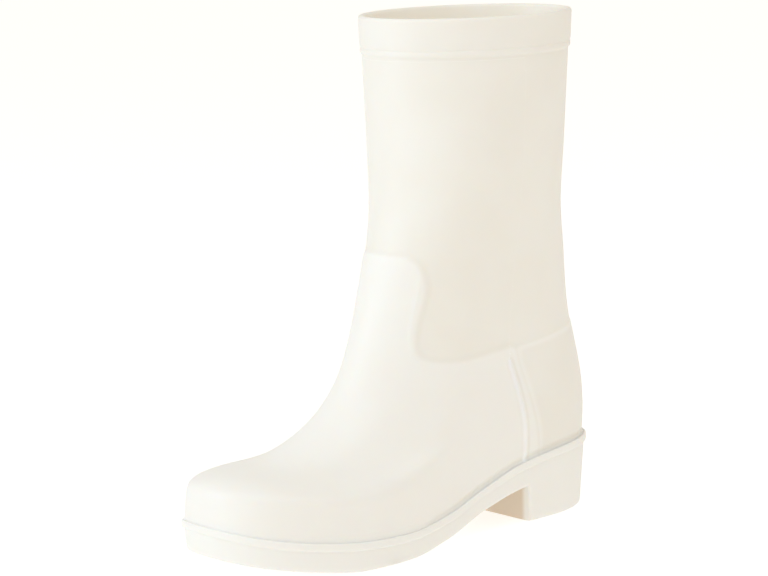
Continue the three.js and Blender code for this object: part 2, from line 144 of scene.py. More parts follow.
print("ledge at toe, ball, waist and heel:", ledge(np.array([137.5, 40, -20, -137.5])).round(1), "mm")

# %% [markdown]
# ## A ring of the last
# Seen from above, a footprint is one long rounded outline that swings to the inner side at the toe and is pinched
# at the waist, more so on the inner side. A superellipse gives ends that are blunter than an ellipse's. The outline
# is one formula, so a sole, an upper and an insole that share it fit each other everywhere.

# %% The outline as a formula, and the form of the whole foot and shaft
TOE_SWING, TOE_SKEW, SWING_ENDS = 0.115, 0.28, 0.42
OUTER_WAIST, INNER_WAIST, WAIST_AT, WAIST_SPAN = 0.05, 0.2, 0.6, 0.16
FORE_ENDS, REAR_STARTS = 0.22, 0.72
SHOULDER_AT, SHOULDER_SPAN, SHOULDER_STARTS = 0.26, 0.17, 0.16


def bump(share, at, span):
    """A bell: e to the power of minus the square of the distance from its middle, in spans."""
    return np.exp(-(((share - at) / span) ** 2))


def end_shape(share, power):
    """A superellipse quarter, from 0 at the very end to 1 where the rounding stops."""
    return (1 - (1 - np.clip(share, 0, 1)) ** power) ** (1 / power)


def ring_points(row, turn):
    """Points of rings at a turn that is 0 at the toe and grows over the outer side.
    The share of the length is half of one less the cosine of the turn. Half the width there is the body's width,
    times the pinch of the waist, times the shape of both ends. Height runs straight from front to back, plus a
    share of the ledge's own sweep, less the drop of the vamp's shoulders."""
    share = (1 - np.cos(turn)) / 2
    side = np.where(np.sin(turn) >= 0, 1.0, -1.0)
    toe = end_shape(share / (row["frontRound"] * (1 + TOE_SKEW * row["last"] * side)), row["frontPower"])
    heel = end_shape((1 - share) / row["backRound"], row["backPower"])
    body = row["fore"] + (row["rear"] - row["fore"]) * ease((share - FORE_ENDS) / (REAR_STARTS - FORE_ENDS))
    waist = np.where(side > 0, OUTER_WAIST, INNER_WAIST) * row["last"]
    pinch = 1 - waist * bump(share, WAIST_AT, WAIST_SPAN)
    swing = -TOE_SWING * SOLE_WIDTH * row["last"] * np.clip(1 - share / SWING_ENDS, 0, 1) ** 2
    x = row["frontX"] + (row["backX"] - row["frontX"]) * share
    front, back = ledge(row["frontX"]), ledge(row["backX"])
    sweep = ledge(x) - (front + (back - front) * share)
    drop = bump(share, SHOULDER_AT, SHOULDER_SPAN) * ease(share / SHOULDER_STARTS)
    z = row["frontZ"] + (row["backZ"] - row["frontZ"]) * share + row["sag"] * sweep - row["dome"] * drop
    return np.stack(np.broadcast_arrays(x, swing + side * body * pinch * toe * heel, z), -1)


def sole_row(inset):
    """The sole's own outline as a ring, drawn in by an inset that may differ from point to point."""
    reach = SOLE_LENGTH / 2 - inset
    row = {"frontX": reach, "frontZ": ledge(reach), "backX": -reach, "backZ": ledge(-reach)}
    row.update(fore=SOLE_WIDTH / 2 - inset, rear=HEEL_WIDTH / 2 - inset)
    row.update(last=1.0, sag=1.0, frontRound=0.3, backRound=0.2, frontPower=2.5, backPower=2.3, dome=0.0)
    return row


def control_rows():
    """The upper's rings in millimetres: the edge over the sole, the foot's rows, then the shaft's."""
    edge = {name: np.atleast_1d(value) for name, value in sole_row(EDGE_INSET).items()}
    edge["frontZ"], edge["backZ"] = edge["frontZ"] + STRIP_HEIGHT, edge["backZ"] + STRIP_HEIGHT
    foot = dict(FOOT)
    foot["frontX"], foot["backX"] = FOOT["frontX"] * SOLE_LENGTH, FOOT["backX"] * SOLE_LENGTH
    for end in ("front", "back"):
        base = ledge(foot[end + "X"])
        foot[end + "Z"] = base + (ANKLE_HEIGHT - base) * FOOT[end + "Up"]
    foot["fore"], foot["rear"] = FOOT["fore"] * SOLE_WIDTH, FOOT["rear"] * HEEL_WIDTH
    foot["dome"] = FOOT["dome"] * ANKLE_HEIGHT
    z = ANKLE_HEIGHT + (BOOT_HEIGHT - ANKLE_HEIGHT) * SHAFT["up"]
    centre, reach = SHAFT["centreX"] * SOLE_LENGTH, SHAFT["depth"] * SHAFT_DEPTH / 2
    half, none = SHAFT["width"] * SHAFT_WIDTH / 2, 0 * z
    shaft = {"frontX": centre + reach, "frontZ": z, "backX": centre - reach, "backZ": z, "fore": half, "rear": half}
    shaft.update(last=none, sag=none, dome=none, frontRound=none + 0.5, backRound=none + 0.5)
    shaft.update(frontPower=none + 2, backPower=none + 2)
    return {name: np.concatenate([edge[name], foot[name], shaft[name]]) for name in edge}


ROWS = control_rows()
ANKLE_PLACE, TOP_PLACE = len(FOOT["last"]), len(ROWS["last"]) - 1


def blended(places):
    """Every value between the rows as a uniform cubic B-spline, carried on in a straight line past both ends."""
    i = np.clip(np.floor(places).astype(int), 0, TOP_PLACE - 1)
    t = places - i
    weights = ((1 - t) ** 3, 3 * t**3 - 6 * t**2 + 4, -3 * t**3 + 3 * t**2 + 3 * t + 1, t**3)
    values = {}
    for name, column in ROWS.items():
        line = np.concatenate([[2 * column[0] - column[1]], column, [2 * column[-1] - column[-2]]])
        values[name] = sum(weight * line[i + k] for k, weight in enumerate(weights))[:, None] / 6
    return values


def boot_form(places, turn):
    """The bare outside of foot and shaft: a grid of rings, from place 0 over the sole to the last at the collar."""
    return ring_points(blended(np.asarray(places, float)), turn[None, :])


AROUND = 360
TURN = np.linspace(0, 2 * np.pi, AROUND, endpoint=False)
form = boot_form(np.linspace(0, TOP_PLACE, 60), TURN)
print("bare form, lowest and highest corner:", form.min((0, 1)).round(1), form.max((0, 1)).round(1), "mm")

# %% [markdown]
# ## From a grid of points to a mesh
# Each piece here is a grid that closes on itself both ways, like the skin of a ring doughnut or of a sausage with
# pinched ends. The faces are then worked out from the grid's numbering, with no modelling by hand. The volume's
# sign shows at once whether the faces look outwards.


# %% Mesh helpers
def offset_directions(points):
    """Unit normals of a grid of rings: the way round crossed with the way up."""
    around = np.roll(points, -1, 1) - np.roll(points, 1, 1)
    up = np.gradient(points, axis=0)
    normal = np.cross(around, up)
    return normal / np.linalg.norm(normal, axis=2, keepdims=True)


def sideways_directions(ring):
    """Level unit normals of one ring: its own direction turned by a right angle."""
    along = np.roll(ring, -1, 0) - np.roll(ring, 1, 0)
    out = np.stack([along[:, 1], -along[:, 0], 0 * along[:, 0]], -1)
    return out / np.linalg.norm(out, axis=1, keepdims=True)


def grid_mesh(name, points, closed_rows):
    """A mesh in metres from a grid of points. Columns always close, rows close where closed_rows says so."""
    rows, columns = points.shape[:2]
    row, column = np.arange(rows if closed_rows else rows - 1)[:, None], np.arange(columns)[None, :]
    next_row, next_column = (row + 1) % rows, (column + 1) % columns
    corners = [(row, column), (row, next_column), (next_row, next_column), (next_row, column)]
    quads = np.stack([i * columns + j for i, j in corners], -1).reshape(-1, 4)
    flat = points.reshape(-1, 3)
    p, q, r, s = (flat[quads[:, k]] for k in range(4))
    volume = (np.einsum("ij,ij->i", p, np.cross(q, r)) + np.einsum("ij,ij->i", p, np.cross(r, s))).sum() / 6
    if volume < 0:
        quads = quads[:, ::-1]
    mesh = bpy.data.meshes.new(name)
    mesh.vertices.add(len(flat))
    mesh.vertices.foreach_set("co", (flat / 1000).astype(np.float32).ravel())
    mesh.loops.add(quads.size)
    mesh.loops.foreach_set("vertex_index", np.ascontiguousarray(quads).astype(np.int32).ravel())
    mesh.polygons.add(len(quads))
    mesh.polygons.foreach_set("loop_start", np.arange(0, quads.size, 4, dtype=np.int32))
    mesh.update(calc_edges=True)
    print(f"{name}: {len(quads)} faces, {abs(volume) / 1000:.1f} cubic centimetres")
    return mesh


def store(mesh, name, values):
    """Puts a number on every point of a mesh, as an attribute that a material can read."""
    attribute = mesh.attributes.new(name, "FLOAT", "POINT")
    attribute.data.foreach_set("value", values.astype(np.float32).ravel())


def add_piece(mesh, node, merge=0.0, sharp=None):
    """Puts a mesh in the scene as a piece of the boot. Points closer than merge (metres) are made one. It is shaded
    smooth, apart from edges where it turns by more than sharp (degrees)."""
    if merge:
        work = bmesh.new()
        work.from_mesh(mesh)
        bmesh.ops.remove_doubles(work, verts=work.verts, dist=merge)
        bmesh.ops.dissolve_degenerate(work, edges=work.edges, dist=merge / 10)
        work.to_mesh(mesh)
        work.free()
    mesh.shade_smooth()
    if sharp:
        mesh.set_sharp_from_angle(angle=np.radians(sharp))
    piece = bpy.data.objects.new(mesh.name, mesh)
    bpy.context.scene.collection.objects.link(piece)
    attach(piece, "root")
    if node:
        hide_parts(node)
    return piece


# %% [markdown]
# ## Where the overlays end
# On the real boot the vamp with its tongue, the heel counter and the rib are steps of less than a millimetre in one
# moulded wall. They could be separate shells laid on top, but those would leave a slit of shadow that a moulding
# hasn't got. Here each edge is a line drawn in the side view, and every point of the wall knows its distance from
# that line. The distance lifts the mesh softly, and the material uses the same distance for the crisp edge.


# %% Edge lines in the side view, and the distance from them
def side_line(*points):
    """Points given as shares of the sole's length and of the ankle's height, made smooth by a Catmull-Rom curve."""
    p = np.array(points) * (SOLE_LENGTH, ANKLE_HEIGHT)
    ends = np.vstack([2 * p[0] - p[1], p, 2 * p[-1] - p[-2]])
    t = np.linspace(0, 1, 8, endpoint=False)[:, None]
    curve = []
    for a, b, c, d in zip(ends, ends[1:], ends[2:], ends[3:]):
        square, cube = 2 * a - 5 * b + 4 * c - d, 3 * b - a - 3 * c + d
        curve.append(0.5 * (2 * b + (c - a) * t + square * t**2 + cube * t**3))
    return np.vstack(curve + [p[-1:]])


def distance_from(x, z, line):
    """Least distance of each point to the line's pieces."""
    best = np.full(x.shape, 1e9)
    for (ax, az), (bx, bz) in zip(line, line[1:]):
        length = (bx - ax) ** 2 + (bz - az) ** 2 + 1e-9
        t = np.clip(((x - ax) * (bx - ax) + (z - az) * (bz - az)) / length, 0, 1)
        best = np.minimum(best, np.hypot(x - ax - t * (bx - ax), z - az - t * (bz - az)))
    return best


def is_inside(x, z, outline):
    """Even-odd rule: a point is inside where a level line from it crosses the outline an odd number of times."""
    crossings = np.zeros(x.shape, int)
    for (ax, az), (bx, bz) in zip(outline, np.roll(outline, -1, 0)):
        spans = (az > z) != (bz > z)
        crossings += spans & (x < ax + (z - az) * (bx - ax) / (bz - az if bz != az else 1e-9))
    return crossings % 2 == 1


VAMP_LINE = side_line(
    (0.2, 1.018), (0.045, 1.018), (0.016, 1.0), (0.004, 0.96), (0.0, 0.9), (0.007, 0.845), (0.018, 0.78),
    (0.025, 0.71), (0.021, 0.672), (0.006, 0.654), (-0.025, 0.644), (-0.065, 0.64), (-0.11, 0.648),
    (-0.16, 0.657), (-0.207, 0.657), (-0.226, 0.585), (-0.244, 0.51), (-0.257, 0.452), (-0.27, 0.376),
    (-0.279, 0.303), (-0.284, 0.2),
)
COUNTER_LINE = side_line((-0.15, 0.657), (-0.215, 0.656), (-0.29, 0.668), (-0.36, 0.683), (-0.52, 0.7))
RIB_LINE = side_line(
    (-0.194, 0.6), (-0.208, 0.545), (-0.22, 0.49), (-0.2345, 0.391), (-0.239, 0.291), (-0.24, 0.2),
)
BINDING_LINE = side_line(
    (0.012, 0.93), (0.014, 0.9), (0.024, 0.825), (0.032, 0.764), (0.0355, 0.71), (0.031, 0.66), (0.016, 0.634),
    (-0.0105, 0.61), (-0.0556, 0.607), (-0.1065, 0.598), (-0.15, 0.592), (-0.19, 0.594),
)
FAR = 4 * SOLE_LENGTH
VAMP_REGION = np.vstack([[(FAR, -FAR), (FAR, VAMP_LINE[0, 1])], VAMP_LINE, [(VAMP_LINE[-1, 0], -FAR)]])
BEHIND_COUNTER = [(-FAR, COUNTER_LINE[-1, 1]), (-FAR, -FAR), (COUNTER_LINE[0, 0], -FAR)]
COUNTER_REGION = np.vstack([COUNTER_LINE, BEHIND_COUNTER])
print("vamp line from", VAMP_LINE[0].round(1), "to", VAMP_LINE[-1].round(1), "mm")

# %% [markdown]
# ## Hollows left by the last and by packing
# No boot wall is dead true. The vamp dips behind the toe box, the flanks over the waist are a little flat, and the
# shaft has slow waves where it was pressed in its box. Each is a wide shallow trough or ridge, listed with its
# middle, its reach and its depth, and they fade out smoothly so that none of them reads as a dent.

# %% Soft troughs and ridges of the wall
TROUGHS = table(
    "x z reachX reachZ side depth",
    (98, 57, 22, 13, 1, 1.5),
    (30, 62, 30, 16, 1, 0.7),
    (-8, 132, 9, 26, 1, 0.5),
    (-60, 205, 34, 16, 1, 0.5),
    (-34, 250, 16, 34, 1, -0.5),
    (-86, 182, 14, 22, 1, 0.5),
    (-70, 235, 40, 12, -1, 0.6),
    (-100, 150, 16, 16, -1, 0.5),
    (28, 60, 30, 16, -1, 0.7),
    (-30, 70, 30, 18, -1, 0.6),
)


def trough_depth(points):
    """How far the wall lies in: for each trough its depth, times a bell in X and in Z, on its own side only."""
    depth = np.zeros(points.shape[:2])
    for x, z, reach_x, reach_z, side, deep in zip(*TROUGHS.values()):
        own_side = ease(0.5 + side * points[..., 1] / SOLE_WIDTH)
        depth += deep * own_side * bump(points[..., 0], x, reach_x) * bump(points[..., 2], z, reach_z)
    return depth


print("deepest trough:", trough_depth(form).max().round(2), "mm")

# %% [markdown]
# ## The upper
# The upper is one wall with two sides. Its mesh runs up the outside from the tucked strip over the sole, past the
# collar band, over the rounded rim, and down the inside to the strip again, so it is hollow like the real one. The
# rows are close together where the wall turns a corner, at the strip, the band and the rim, and wider in between.
# From the waist to the heel the strip lies further in than the wall above it. At the foot of the strip the wall
# flares out again in a small cove, because a moulding tool has no knife-sharp inner corner.

# %% Height of the overlays, and places of the rings
SOFT_STEP = 2.1  # half the width over which the mesh itself climbs a step
BEAD_WIDTH, BEAD_GAP, BEAD_FADE = RIB_WIDTH - 0.5, 2.0, 4.0  # a low bead along the vamp, stopping before the rib


def relief(points):
    """Height of the overlays over the bare wall, and the five distances that the material uses. Those to an edge
    are positive on the overlay. The rib's side is its distance again, positive behind the rib."""
    x, z = points[..., 0], points[..., 2]
    vamp = distance_from(x, z, VAMP_LINE) * np.where(is_inside(x, z, VAMP_REGION), 1, -1)
    counter = distance_from(x, z, COUNTER_LINE) * np.where(is_inside(x, z, COUNTER_REGION), 1, -1)
    counter = np.minimum(counter, -vamp)
    rib, binding = distance_from(x, z, RIB_LINE), distance_from(x, z, BINDING_LINE)
    rib_side = np.where(x < np.interp(z, RIB_LINE[::-1, 1], RIB_LINE[::-1, 0]), rib, -rib)
    on_vamp = ease(0.5 + vamp / (2 * SOFT_STEP))
    on_counter = ease(0.5 + counter / (2 * SOFT_STEP))
    on_rib = 1 - ease(rib / RIB_WIDTH)
    on_binding = (1 - ease(binding / BEAD_WIDTH)) * ease((rib - BEAD_GAP) / BEAD_FADE)
    height = VAMP_PROUD * on_vamp + COUNTER_PROUD * on_counter + RIB_PROUD * on_rib + BEAD_PROUD * on_binding
    names = ("vamp_edge", "counter_edge", "rib_line", "rib_side", "binding_line")
    return height, dict(zip(names, (vamp, counter, rib, rib_side, binding)))


def place_at(height):
    """Place of the level ring at a height on the shaft, read back from the fronts of many rings."""
    places = np.linspace(0, TOP_PLACE, 2000)
    return np.interp(height, blended(places)["frontZ"][:, 0], places)


def ring_places(start, end, to_ankle, from_ankle):
    """Places of rings, evenly spaced from the start to the ankle and then to the end, with a count for each part."""
    return np.concatenate([np.linspace(start, ANKLE_PLACE, to_ankle), np.linspace(ANKLE_PLACE, end, from_ankle)[1:]])


print("overlays rise up to", relief(form)[0].max().round(2), "mm over the bare form")

# %% Rows of the upper, outside, rim and inside
COLLAR_ROWS = (  # offset from the bare wall and height, up the band, over its groove, and over the rim
    (0.0, 278.6), (0.05, 279.2), (0.28, 279.7), (0.7, 280.1), (1.02, 280.6), (1.12, 281.4), (1.1, 282.7),
    (1.0, 283.05), (0.86, 283.35), (0.8, 283.7), (0.86, 284.05), (1.0, 284.35), (1.1, 284.7), (1.12, 288.0),
    (1.12, 292.0), (1.12, 296.0), (1.12, 299.0), (1.1, 300.2), (0.98, 300.9), (0.68, 301.5), (0.2, 301.88),
    (-0.4, 302.0), (-1.0, 302.0), (-1.6, 301.88), (-2.05, 301.55), (-2.35, 301.0), (-2.5, 300.2), (-2.5, 297.0),
)
FOOT_REACH = 1.7  # how far the cove at the strip's foot comes out over the ledge, from the bare wall
TUCK_STARTS, TUCK_SPAN = 40.0, 70.0  # x where the strip begins to lie in, and over how far it does so
TUCK_DEPTH, FORE_FLARE = 0.4, 1.5  # share of the solid's tuck, and power of the flare in front of the waist
COLLAR_RUN, INSIDE_TOP = 1.5, 294.0  # gap under the collar's rows, and height where the even rows inside begin
STRIP_ROWS = (  # height over the ledge, share of the tuck, and share of the way out to FOOT_REACH
    (0.02, 1.0, 1.0), (0.14, 1.0, 0.72), (0.38, 1.0, 0.48), (0.75, 1.0, 0.28), (1.2, 1.0, 0.12), (1.7, 1.0, 0.03),
    (2.1, 0.98, 0.0), (2.5, 0.9, 0.0), (2.85, 0.74, 0.0), (3.2, 0.52, 0.0), (3.6, 0.28, 0.0), (3.95, 0.09, 0.0),
    (4.3, 0.0, 0.0),
)

bare = boot_form(ring_places(0.12, place_at(COLLAR_ROWS[0][1] - COLLAR_RUN), 122, 58), TURN)
lift, fields = relief(bare)
outside = bare + offset_directions(bare) * (lift - trough_depth(bare))[..., None]

edge = boot_form([0.0], TURN)[0]
edge_x, edge_out = edge[:, 0], sideways_directions(edge)
rearward = ease((TUCK_STARTS - edge_x) / TUCK_SPAN)
foot_rows = []
for height, share, flare in STRIP_ROWS:
    offset = lift[0] - share * TUCK_DEPTH * rearward * (lift[0] + STRIP_TUCK)
    spread = flare * rearward + (1 - height / STRIP_ROWS[-1][0]) ** FORE_FLARE * (1 - rearward)
    ring = edge + edge_out * (offset + spread * (FOOT_REACH - offset))[:, None]
    foot_rows.append(np.column_stack([ring[:, :2], ledge(edge_x) + height]))

collar_rows = []
for offset, height in COLLAR_ROWS:
    ring = boot_form([place_at(height)], TURN)[0]
    ring = ring + sideways_directions(ring) * offset
    collar_rows.append(np.column_stack([ring[:, :2], np.full(AROUND, height)]))

bare_inside = boot_form(ring_places(place_at(INSIDE_TOP), 0, 12, 22), TURN)
inside = bare_inside + offset_directions(bare_inside) * WALL
inside_foot = edge - edge_out * WALL
inside_foot[:, 2] = ledge(edge_x) + SEAT_GAP
upper_rows = [np.array(foot_rows), outside, np.array(collar_rows), inside, inside_foot[None]]
upper_points = np.concatenate(upper_rows)
print("upper rows:", [len(part) for part in upper_rows])

# %% The upper's mesh, with its distances stored on the points
UNTOUCHED = 20.0  # a distance in millimetres at which no line changes the surface any more
SHADE_STARTS, SHADE_SPAN = 60.0, 50.0  # x where painted shade begins to gather over the ledge, and over how far it does so

upper_mesh = grid_mesh("upper_shell", upper_points, closed_rows=True)
first, last = len(foot_rows), len(foot_rows) + len(outside)
for name, distance in fields.items():
    stored = np.full(upper_points.shape[:2], -UNTOUCHED if name.endswith("edge") else UNTOUCHED)
    stored[first:last] = np.clip(distance, -UNTOUCHED, UNTOUCHED)
    stored[:first] = stored[first]
    store(upper_mesh, name, stored)
# Painted shade: from the waist back, the rubber just over the ledge is marked for a darker colour, for the shade
# there.
unshaded = 1 - ease((SHADE_STARTS - edge_x) / SHADE_SPAN)
over_ledge = upper_points[..., 2] - ledge(edge_x) + unshaded * UNTOUCHED
over_ledge[last:] = UNTOUCHED
store(upper_mesh, "over_ledge", np.clip(over_ledge, -UNTOUCHED, UNTOUCHED))
upper = add_piece(upper_mesh, "upper", sharp=60)

# %% [markdown]
# ## The lining
# A boot like this is moulded over a knitted sock, which stays inside as its lining and ends a little under the rim.
# The lining is a thin skin of its own, a hair away from the rubber, so the rim shows bare rubber and then cloth.

# %% The knit lining
LINING_TOP, LINING_GAP, LINING_THICK, LINING_CROWN = 292.0, 0.25, 0.7, 0.6

bare_lining = boot_form(ring_places(0.5, place_at(LINING_TOP), 40, 30), TURN[::2])
outward = offset_directions(bare_lining)
lining_rows = [bare_lining - outward * (WALL + LINING_GAP)]
for share in (0.2, 0.5, 0.8):
    rise = np.sin(np.pi * share) * LINING_THICK * LINING_CROWN
    top_edge = bare_lining[-1] - outward[-1] * (WALL + LINING_GAP + LINING_THICK * share)
    lining_rows.append((top_edge + (0, 0, rise))[None])
lining_rows.append((bare_lining - outward * (WALL + LINING_GAP + LINING_THICK))[::-1])
lining = add_piece(grid_mesh("lining", np.concatenate(lining_rows), closed_rows=True), None)

# %% [markdown]
# ## Sections across the sole
# The outsole and the insole are built from sections across the boot, one for each station from the toe to the heel.
# A station's section goes over the top, down the outer side, back along the bottom and up the inner side. Grooves
# and the breast of the heel lie at fixed places along X, so stations are put exactly where they begin and end.


# %% Closed solids from sections
STRAIGHT_REACH = 124.0  # up to this far from the middle a column keeps its station's x


def column_x(x, inset):
    """x of a column: the nominal one up to STRAIGHT_REACH, and beyond it the rest squeezed in by the inset."""
    reach = SOLE_LENGTH / 2 - inset
    squeeze = (reach - STRAIGHT_REACH) / (SOLE_LENGTH / 2 - STRAIGHT_REACH)
    beyond = np.maximum(np.abs(x) - STRAIGHT_REACH, 0)
    return np.sign(x) * (np.minimum(np.abs(x), STRAIGHT_REACH) + beyond * squeeze)


def section_solid(name, x, inset, z, across_top, across_bottom):
    """A solid from the columns of its side. For each station (row) and each step down the side (column) come the
    nominal x, the inset from the sole's outline and the height. A column's turn is the one whose cosine, times the
    reach of its own outline, is its x."""
    turn = np.arccos(np.clip(column_x(x, inset) / (SOLE_LENGTH / 2 - inset), -1, 1))
    row = sole_row(inset)
    outer, inner = ring_points(row, turn), ring_points(row, -turn)
    outer[..., 2] = inner[..., 2] = z
    bottom = np.linspace(0, 1, across_bottom + 2)[1:-1][None, :, None]
    top = np.linspace(0, 1, across_top + 2)[1:-1][None, :, None]
    under = outer[:, -1:] * (1 - bottom) + inner[:, -1:] * bottom
    over = inner[:, :1] * (1 - top) + outer[:, :1] * top
    loops = np.concatenate([over, outer, under, inner[:, ::-1]], axis=1)
    return grid_mesh(name, loops, closed_rows=False)


# %% [markdown]
# ## The outsole
# The ledge that carries the upper has a thin lip, proud of the side below it. Under the lip the side leans in a
# little, as it must to leave its mould. The bottom edge and the breast's corners are rounded, and the tread's
# grooves stop short of the side, so that the bottom edge runs through in one line. Every point also knows whether
# it looks down inside the arch, and there the material has painted shade, a darker colour that stands for the
# little light that gets in.

# %% Stations of the outsole, with the level of its underside
SOFT_EDGE = np.array([-0.3, -0.1, 0.1, 0.3])  # stations across each edge of a groove
GROOVE_WALL, BREAST_LAND = 0.4, 3.0  # x that a groove's wall takes, and plain rubber on both sides of the breast
BREAST_GAP, FACE_STATIONS = 0.05, 7  # the last station before the breast, and the stations down its face


def groove_edges(start, direction, length):
    """Near and far end of each groove, one pitch apart."""
    count = int((length + LAND) // (LAND + GROOVE))
    near = start + direction * (LAND + GROOVE) * np.arange(count)
    return np.sort(np.stack([near, near + direction * GROOVE], -1), axis=1)


fore_grooves = groove_edges(SOLE_LENGTH / 2 - FOREFOOT_TREAD_START, -1, FOREFOOT_TREAD_LENGTH)
heel_grooves = groove_edges(HEEL_TREAD_START - SOLE_LENGTH / 2, 1, HEEL_TREAD_LENGTH)
grooves = np.concatenate([fore_grooves, heel_grooves])
plain = SOLE_LENGTH / 2 * np.cos(np.linspace(0, np.pi, 170))
corner_round = BREAST - EDGE_ROUND * (1 - np.cos(np.linspace(0, np.pi / 2, 6)))
groove_x = (grooves[..., None] + SOFT_EDGE).ravel()
station_x = np.concatenate([plain, groove_x, corner_round[1:], [BREAST + BREAST_GAP]])
station_x = np.unique(station_x.round(3))[::-1]
before = (station_x > BREAST).sum()
after = len(station_x) - before
x = np.concatenate([station_x[:before], np.full(FACE_STATIONS, BREAST), station_x[before:]])[:, None]
in_heel = np.repeat([0.0, 1.0], [before, FACE_STATIONS + after])[:, None]
level = np.concatenate([np.ones(before), 1 - np.linspace(0, 1, FACE_STATIONS), np.zeros(after)])[:, None]
depth_in_groove = (GROOVE_WALL + GROOVE) / 2 - np.abs(x - grooves.mean(1)).min(1, keepdims=True)
groove = GROOVE_DEPTH * ease(depth_in_groove / GROOVE_WALL) * (np.abs(x - BREAST) > BREAST_LAND)
print(len(x), "stations,", len(grooves), "grooves")

# %% Columns of the side, from the ledge down to the tread
SHANK_INSET = 3.0  # the underside's height is taken this far in from the sole's outline


def side_inset_at(depth):
    """The side below the lip leans in with its depth under the ledge."""
    return LIP_PROUD + SIDE_SLOPE * depth


shank = underside(column_x(x, SHANK_INSET))
floor_level = np.where(in_heel > 0, shank * level, shank)
rim_z = ledge(x)
behind = np.clip((BREAST - x) / EDGE_ROUND, 0, 1)
corner_inset = EDGE_ROUND * (1 - np.sqrt(1 - (1 - behind) ** 2)) * in_heel

lip_turn = np.linspace(0, np.pi / 2, 5)[None, :]
lip = [LIP_ROUND * (1 - np.sin(lip_turn)), rim_z - LIP_ROUND * (1 - np.cos(lip_turn))]
tuck_share = np.array([[0, 0, 0.1, 0.35, 0.75, 0.95, 1.0]])
tuck_depth = np.array([[LIP_ROUND + 1.4, 3.7, 4.1, 4.45, 4.7, 4.95, 5.3]])
tuck = [tuck_share * side_inset_at(tuck_depth), rim_z - tuck_depth]

side_share = np.linspace(0, 1, 12)[None, 1:]
side_z = (rim_z - tuck_depth[:, -1:]) * (1 - side_share) + (shank + EDGE_ROUND) * side_share
side = [side_inset_at(rim_z - side_z), side_z]
quarter = np.linspace(0, np.pi / 2, 6)[None, 1:]
shelf_round = np.where(in_heel > 0, corner_inset, EDGE_ROUND)
shelf_z = shank + EDGE_ROUND * (1 - np.sin(quarter))
shelf = [side_inset_at(rim_z - shelf_z) + shelf_round * (1 - np.cos(quarter)), shelf_z]

foot_round = np.minimum(EDGE_ROUND, shank - floor_level)
block_share = np.linspace(0, 1, 10)[None, 1:]
block_z = shank * (1 - block_share) + (floor_level + foot_round) * block_share
block = [side_inset_at(rim_z - block_z) + shelf_round, block_z]
edge_z = floor_level + foot_round * (1 - np.sin(quarter))
edge_in = side_inset_at(rim_z - edge_z) + shelf_round + foot_round * (1 - np.cos(quarter))
tread_in = edge_in[:, -1:] + GROOVE_MARGIN + GROOVE_WALL * np.array([[-0.5, 0.5]])
tread = [tread_in, floor_level + groove * [[0, 1]]]

columns = [lip, tuck, side, shelf, block, [edge_in, edge_z], tread]
side_inset = np.concatenate([np.broadcast_to(inset, height.shape) for inset, height in columns], axis=1)
side_height = np.concatenate([height for _, height in columns], axis=1)
print(side_height.shape[1], "columns down each side")

# %% The outsole's mesh, with the painted shade of its arch stored on the points
LEAN_FADE = 14.0  # the breast's slant is used up this far behind it
ARCH_REACH, ARCH_FADE = 60.0, 50.0  # how far before the breast the arch's painted shade reaches, and over how much it fades out
ACROSS_TOP, ACROSS_UNDER = 10, 24

hang = np.clip(1 - side_height / np.maximum(shank, 1), 0, 1)
lean = BREAST_SLANT * hang * in_heel * ease((x - BREAST) / LEAN_FADE + 1)
outsole_mesh = section_solid("outsole_block", x - lean, side_inset, side_height, ACROSS_TOP, ACROSS_UNDER)
in_arch = (x >= BREAST) * ease((BREAST + ARCH_REACH - x) / ARCH_FADE)
beside = side_height.shape[1] - 2
looks_down = np.repeat([0.0, 1.0, 0.0], [ACROSS_TOP + beside, 2 + ACROSS_UNDER + 2, beside])
# Painted shade: the underside inside the arch is marked for a darker colour in the sole's material.
store(outsole_mesh, "arch_shade_share", in_arch * looks_down)
outsole = add_piece(outsole_mesh, "outsole", merge=1e-6, sharp=32)

# %% [markdown]
# ## The insole
# A loose insole is die-cut from foam faced with cloth, so its top edge is soft and its sides are square.

# %% The insole
LINING_ROOM = 0.5  # on top of INSOLE_CLEARANCE, because the lining lies between the insole and the wall
CUT_INSET, CUT_HEIGHT = np.array([[0.0, 0.0, 0.3]]), np.array([[1.2, 0.35, 0.0]])  # the square cut side, downwards

insole_x = (SOLE_LENGTH / 2 * np.cos(np.linspace(0, np.pi, 120)))[:, None]
insole_base = ledge(insole_x) + SEAT_GAP
soft = INSOLE_THICKNESS / 2
edge_turn = np.linspace(0, np.pi / 2, 6)[None, :]
clear = EDGE_INSET + WALL + INSOLE_CLEARANCE + LINING_ROOM
insole_inset = np.concatenate([clear + soft * (1 - np.sin(edge_turn)), clear + CUT_INSET], axis=1)
soft_edge = insole_base + INSOLE_THICKNESS - soft * (1 - np.cos(edge_turn))
insole_z = np.concatenate([soft_edge, insole_base + CUT_HEIGHT], axis=1)
insole_inset = np.broadcast_to(insole_inset, insole_z.shape)
insole_mesh = section_solid("insole_pad", insole_x, insole_inset, insole_z, 30, 10)
insole = add_piece(insole_mesh, "insole", merge=1e-6, sharp=40)

# %% [markdown]
# ## Materials
# White rubber isn't one flat colour. It has a faint cloudiness from mixing, a fine skin copied from the mould, and
# a sheen that is duller in some places than in others. All of that is noise in object coordinates, so it stays
# at its real size on every piece. The groups below put out only what varies; what is constant stays in each shader.


# %% Node helpers and shared effects
def new_group(name, inputs, outputs):
    """A node group with its input and output sockets, and the nodes that stand for them."""
    tree = bpy.data.node_groups.new(name, "ShaderNodeTree")
    for socket, kind in inputs:
        tree.interface.new_socket(socket, in_out="INPUT", socket_type=kind)
    for socket, kind in outputs:
        tree.interface.new_socket(socket, in_out="OUTPUT", socket_type=kind)
    return tree, tree.nodes.new("NodeGroupInput"), tree.nodes.new("NodeGroupOutput")


